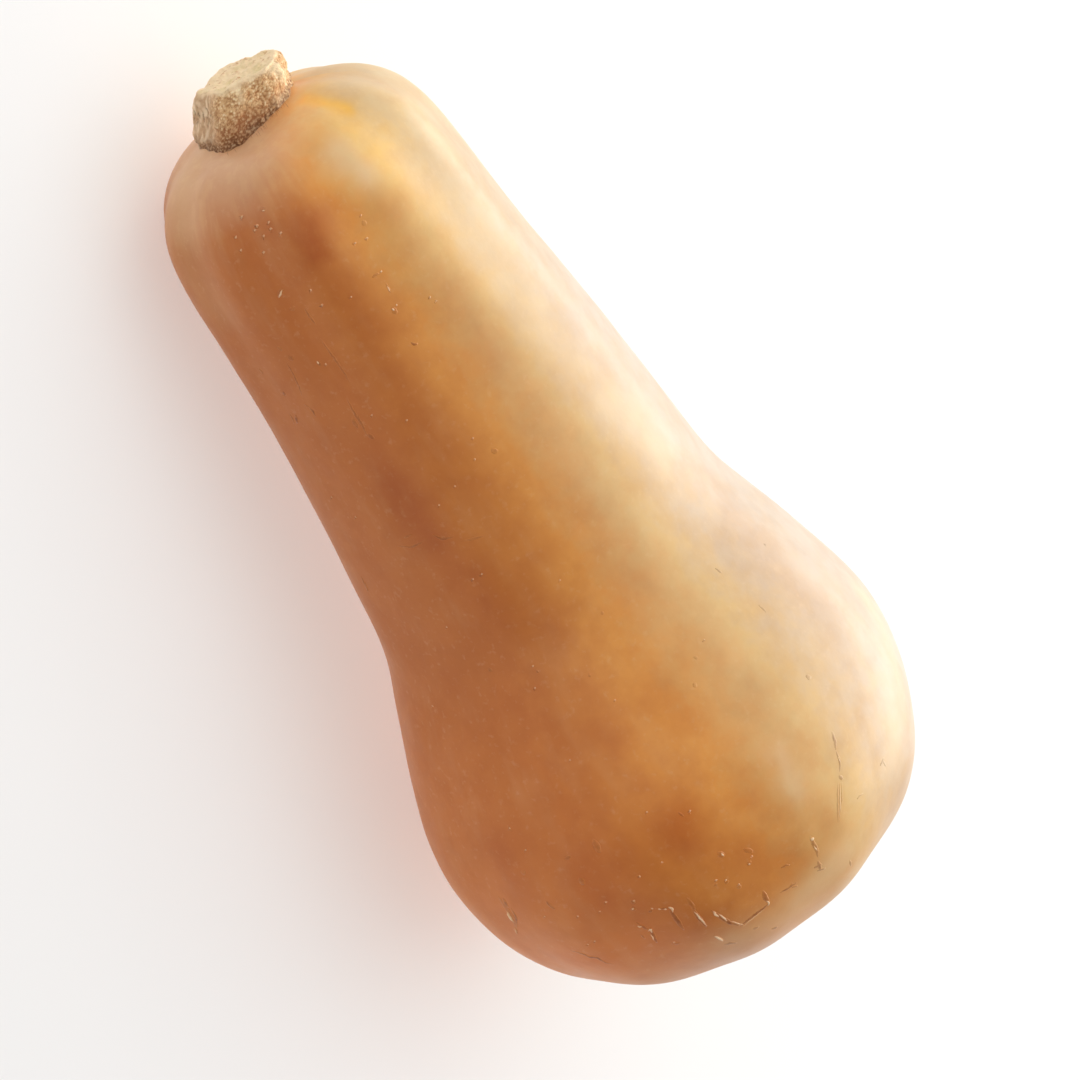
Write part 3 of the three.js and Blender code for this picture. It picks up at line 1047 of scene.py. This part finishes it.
# Darker towards the foot: dark cork, and painted shade where the stem meets the fruit.
foot_shade = 0.75 * (1 - smooth_step(-1.8, 1.2, height)) + 0.25 * (1 - smooth_step(-2.6, -1.4, height))
height = height - foot_drop_around(around) * (1 - smooth_step(-2, 5, height))
side = radius * np.cos(around) + stem_foot_side + stem_lean_side * height
up = radius * np.sin(around) + stem_foot_up + stem_lean_up * height
to_plane = smooth_step(0, 0.35, inset)
height = height + on_cut * to_plane * (cut_height_at(side, up) - height)
stem_local = np.stack([-height, side, up], -1)

flank_turn = np.abs((around - smooth_flank_at + np.pi) % (2 * np.pi) - np.pi)
flank = 1 - smooth_step(smooth_flank_reach * 0.6, smooth_flank_reach * 1.3, flank_turn)
grains = np.maximum(grains_at(stem_local, grain_size), 0.85 * grains_at(stem_local + 40, grain_size * 0.55))
drift = noise_at(stem_local, 3.4, 5)
lumps = noise_at(stem_local, 1.7, 6)
gather = np.clip(0.6 + 0.9 * noise_at(stem_local, 4.5, 7), 0.25, 1)
crust = grain_height * (grains - 0.35) * (1 - 0.75 * flank) * gather
fibres = noise_at(stem_local * (0.28, 1, 1), 1.2, 33)
pit_height = np.exp(-(((height - 3.6) / 1.6) ** 2))
pits = smooth_step(0.12, 0.4, noise_at(stem_local, 0.8, 31)) * flank * pit_height
stem_relief = crust + 0.75 * drift + 0.42 * lumps + 0.12 * fibres * flank - 0.5 * pits
stem_relief = on_side * above_foot * stem_relief
turn_way = np.stack([np.zeros_like(around), np.cos(around), np.sin(around)], -1)
stem_local = stem_local + turn_way * stem_relief[:, None]

rim_roll = 0.3 * np.exp(-((inset - 0.08) / 0.07) ** 2)
hollow = -0.55 * smooth_step(0.2, 0.75, inset)
torn = 0.28 * noise_at(stem_local, 0.9, 8) + 0.4 * noise_at(stem_local, 2.3, 9)
stem_local[:, 0] -= on_cut * (rim_roll + hollow + torn * smooth_step(0, 0.12, inset))

root_side = stem_foot_side + stem_lean_side * foot_height
root_up = stem_foot_up + stem_lean_up * foot_height
poles = np.array([[-foot_height, root_side, root_up], stem_local[-stem_sectors:].mean(0)])
stem_points = laid_down(np.vstack([poles[:1], stem_local, poles[1:]])) + lay_shift
foot_shade = np.clip(foot_shade - 0.35 * drift * foot_shade, 0, 1)
rust_turn = np.abs((around - rust_at + np.pi) % (2 * np.pi) - np.pi)
rust = np.exp(-((rust_turn / 0.75) ** 2)) * (1 - smooth_step(-1.0, 4.5, height + 1.4 * drift))
near_rim = on_cut * np.exp(-((inset / 0.1) ** 2))
near_rim = near_rim + on_side * 0.8 * smooth_step(0.9, 0.1, rim_gap + 0.5 * lumps)
at_notch = np.exp(-(((around - rim_notch_at + 0.3) / 0.5) ** 2))
near_rim = near_rim * (1 - 0.85 * at_notch)
stem_masks = {
    "grains": np.concatenate([[0], grains, [0]]),
    "flank": np.concatenate([[0], flank * on_side, [0]]),
    "foot": np.concatenate([[1], foot_shade * ~on_cut, [0]]),
    "rust": np.concatenate([[0], rust * on_side, [0]]),
    "fibres": np.concatenate([[0], np.clip(0.5 + fibres, 0, 1), [0]]),
    "pits": np.concatenate([[0], pits * on_side, [0]]),
    "cut": np.concatenate([[0], on_cut * 1.0, [1]]),
    "rim": np.concatenate([[0], near_rim, [0]]),
}

cork_mid = linear(230, 188, 136)
cork_grain = linear(255, 238, 198)
cork_crevice = linear(184, 130, 80)
cork_rust = linear(160, 100, 58)
cork_foot_and_shade = linear(106, 66, 36)
flank_pale = linear(232, 204, 170)
flank_dark = linear(192, 154, 118)
flank_pit = linear(96, 66, 44)
rim_pale = linear(248, 220, 178)
cut_straw = linear(248, 220, 178)
cut_green = linear(226, 202, 146)
cut_rust = linear(206, 150, 98)


def make_stem_material():
    material, tree, shader = new_material("stem_cork")
    place = add_node(tree, "ShaderNodeTexCoord").outputs["Object"]
    grained = attribute(tree, "grains")
    colour = colour_mix(tree, map_range(tree, grained, 0.1, 0.6), cork_crevice, cork_mid)
    bright = map_range(tree, grained, 0.6, 0.95)
    tops = product(tree, bright, clouds(tree, place, 0.0011, 0.4, 0.58))
    colour = colour_mix(tree, tops, colour, cork_grain)
    stain_and_shadow = product(tree, clouds(tree, place, 0.004, 0.46, 0.66), 0.4)
    colour = colour_mix(tree, stain_and_shadow, colour, cork_crevice)
    bleach = product(tree, clouds(tree, place, 0.006, 0.48, 0.66), 0.5)
    colour = colour_mix(tree, bleach, colour, cork_grain)
    speckled = map_range(tree, grained, 0.3, 0.9, 1.0, 0.35)
    rusted = product(tree, attribute(tree, "rust"), speckled)
    colour = colour_mix(tree, rusted, colour, cork_rust)
    flank = colour_mix(tree, map_range(tree, attribute(tree, "fibres"), 0.3, 0.75), flank_dark, flank_pale)
    flank = colour_mix(tree, attribute(tree, "pits"), flank, flank_pit)
    colour = colour_mix(tree, product(tree, attribute(tree, "flank"), 0.8), colour, flank)
    colour = colour_mix(tree, attribute(tree, "rim"), colour, rim_pale)
    # The dark foot: dark cork with painted shade where the stem meets the fruit.
    colour = colour_mix(tree, product(tree, attribute(tree, "foot"), speckled), colour, cork_foot_and_shade)
    green = product(tree, clouds(tree, place, 0.005, 0.5, 0.64), 0.65)
    cut_colour = colour_mix(tree, green, cut_straw, cut_green)
    spots = product(tree, clouds(tree, place, 0.0016, 0.58, 0.7), 0.8)
    cut_colour = colour_mix(tree, spots, cut_colour, cut_rust)
    cut_colour = colour_mix(tree, attribute(tree, "rim"), cut_colour, rim_pale)
    colour = colour_mix(tree, attribute(tree, "cut"), colour, cut_colour)
    tree.links.new(colour, shader.inputs["Base Color"])
    dry = map_range(tree, clouds(tree, place, 0.003, 0.3, 0.7), 0, 1, 0.7, 0.9)
    tree.links.new(dry, shader.inputs["Roughness"])
    shader.inputs["Subsurface Weight"].default_value = 0.1
    shader.inputs["Subsurface Radius"].default_value = (0.002, 0.0013, 0.0008)
    shader.inputs["Subsurface Scale"].default_value = 0.5
    crumbs = add_node(tree, "ShaderNodeTexNoise", Vector=place, Scale=2600.0, Detail=3.0)
    bump = add_node(tree, "ShaderNodeBump", Strength=0.5, Distance=0.0002, Height=crumbs.outputs["Fac"])
    tree.links.new(bump.outputs["Normal"], shader.inputs["Normal"])
    return material


stem_material = make_stem_material()
stem_faces = [tuple(reversed(face)) for face in grid_faces(len(stem_rows), stem_sectors)]
stem = new_piece("squash_stump", stem_points * millimetre, stem_faces, stem_material, stem_masks)
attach(stem, "root")
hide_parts("squash_stem")


# The setting: a plain white surface, and a broad soft window behind the squash.
# A softer light hangs over it, and a weak one fills in from the front.
floor_side = 8.0
floor_white = linear(235, 235, 235)
floor_shade = linear(232, 232, 232)


def make_floor():
    material, tree, shader = new_material("pale_surface")
    place = add_node(tree, "ShaderNodeTexCoord").outputs["Object"]
    colour = colour_mix(tree, clouds(tree, place, 0.4, 0.3, 0.7), floor_white, floor_shade)
    tree.links.new(colour, shader.inputs["Base Color"])
    shader.inputs["Roughness"].default_value = 0.8
    half = floor_side / 2
    corners = np.array([(-half, -half, 0), (half, -half, 0), (half, half, 0), (-half, half, 0)])
    floor = new_piece("floor", corners, [(0, 1, 2, 3)], material, {})
    return floor


floor = make_floor()


def add_light(name, place, aim, size, power, colour=(1, 1, 1)):
    data = bpy.data.lights.new(name, "AREA")
    data.shape = "RECTANGLE"
    data.size, data.size_y = size
    data.energy = power
    data.color = colour
    light = bpy.data.objects.new(name, data)
    bpy.context.scene.collection.objects.link(light)
    light.location = place
    light.rotation_euler = (Vector(aim) - Vector(place)).to_track_quat("-Z", "Y").to_euler()
    return light


window = add_light("window", (0.5, 1.45, 0.9), (0, 0, 0.06), (1.8, 1.3), 28, (1.0, 0.97, 0.93))
shade_makers = bpy.data.collections.new("shade_makers")
shade_makers.objects.link(floor)
window.light_linking.blocker_collection = shade_makers
overhead = add_light("overhead", (-0.2, 0.4, 1.8), (0, 0, 0.05), (2.2, 2.2), 14)
overhead.light_linking.blocker_collection = shade_makers
add_light("front_fill", (-1.0, -1.8, 0.8), (0, 0, 0.06), (2.0, 1.6), 6, (1.0, 0.97, 0.93))

world_dark = 0.1
world_bright = 0.75


def make_world():
    """A room that is bright behind the squash and above it, and dim in front."""
    world = bpy.data.worlds.new("studio")
    world.use_nodes = True
    tree = world.node_tree
    sky = add_node(tree, "ShaderNodeTexCoord").outputs["Generated"]
    way = add_node(tree, "ShaderNodeSeparateXYZ", Vector=sky)
    back = product(tree, way.outputs["Y"], 0.75)
    back_left = calculate(tree, "MULTIPLY_ADD", way.outputs["X"], -0.35, back)
    facing = calculate(tree, "MULTIPLY_ADD", way.outputs["Z"], 0.55, back_left)
    ranged = add_node(
        tree,
        "ShaderNodeMapRange",
        Value=facing,
        From_Min=-0.6,
        From_Max=0.9,
        To_Min=world_dark,
        To_Max=world_bright,
    )
    background = tree.nodes["Background"]
    background.inputs["Color"].default_value = (1, 1, 1, 1)
    tree.links.new(ranged.outputs["Result"], background.inputs["Strength"])
    bpy.context.scene.world = world


make_world()
bpy.context.scene.view_settings.view_transform = "Standard"
bpy.context.scene.view_settings.look = "None"
bpy.context.scene.view_settings.exposure = 0.0
